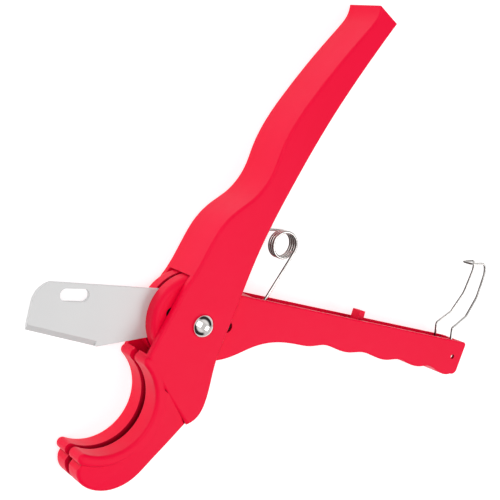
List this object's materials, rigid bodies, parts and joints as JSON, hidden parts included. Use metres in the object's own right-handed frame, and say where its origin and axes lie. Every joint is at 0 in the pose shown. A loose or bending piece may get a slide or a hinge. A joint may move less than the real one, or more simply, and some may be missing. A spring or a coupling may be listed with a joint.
{
  "type": "pipe cutter",
  "caption": "Hand-held shear cutter for plastic pipe: a flat blade on a hinged lever closes into a split hook jaw, with a torsion spring and a wire latch.",
  "frame": {"origin": "on the pivot axis, at the flat side that the tool lies on", "axes": "+Z along the pivot axis, up from the side it lies on; +X towards the lever's end; +Y towards the upper handle's tip"},
  "size_m": [0.2356, 0.1882, 0.0261],
  "materials": {
    "red_casting": "semi-gloss powder coat",
    "red_lever": "semi-gloss powder coat",
    "blade_steel": "fine ground",
    "rivet_chrome": "bright plated",
    "washer_steel": "plain",
    "screw_black": "black oxide",
    "spring_wire": "bright drawn wire",
    "bail_wire": "bright drawn wire"
  },
  "bodies": {
    "body": {"body_casting": "red_casting", "pivot_rivet": "rivet_chrome", "pivot_washer": "washer_steel"},
    "lever": {"lever_casting": "red_lever", "blade": "blade_steel", "blade_screws": "screw_black", "blade_nuts": "screw_black"},
    "spring_arm_upper": {"spring_upper": "spring_wire"},
    "spring_arm_lower": {"spring_lower": "spring_wire"},
    "bail": {"latch_bail": "bail_wire"}
  },
  "joints": [
    {"name": "lever_hinge", "type": "hinge", "parent": "body", "child": "lever", "pos_m": [0, 0, 0.0115], "axis": [0, 0, 1], "range_deg": [0, 56], "stiffness_Nm_per_rad": 0.4, "springref_deg": -20.05},
    {"name": "bail_hinge", "type": "hinge", "parent": "lever", "child": "bail", "pos_m": [0.1409, -0.0398, 0.0115], "axis": [0, 0, 1], "range_deg": [-20, 4]},
    {"name": "spring_seat", "type": "hinge", "parent": "body", "child": "spring_arm_upper", "pos_m": [0.0146, 0.037, 0.0115], "axis": [0, 0, 1], "range_deg": [0, 39]},
    {"name": "spring_coil", "type": "hinge", "parent": "spring_arm_upper", "child": "spring_arm_lower", "pos_m": [0.0466, 0.02605, 0.0115], "axis": [0, 0, 1], "range_deg": [-48, 0]}
  ],
  "couplings": [
    {"joint": "spring_seat", "follows": "lever_hinge", "ratio": 0.691},
    {"joint": "spring_coil", "follows": "lever_hinge", "ratio": -0.84}
  ]
}
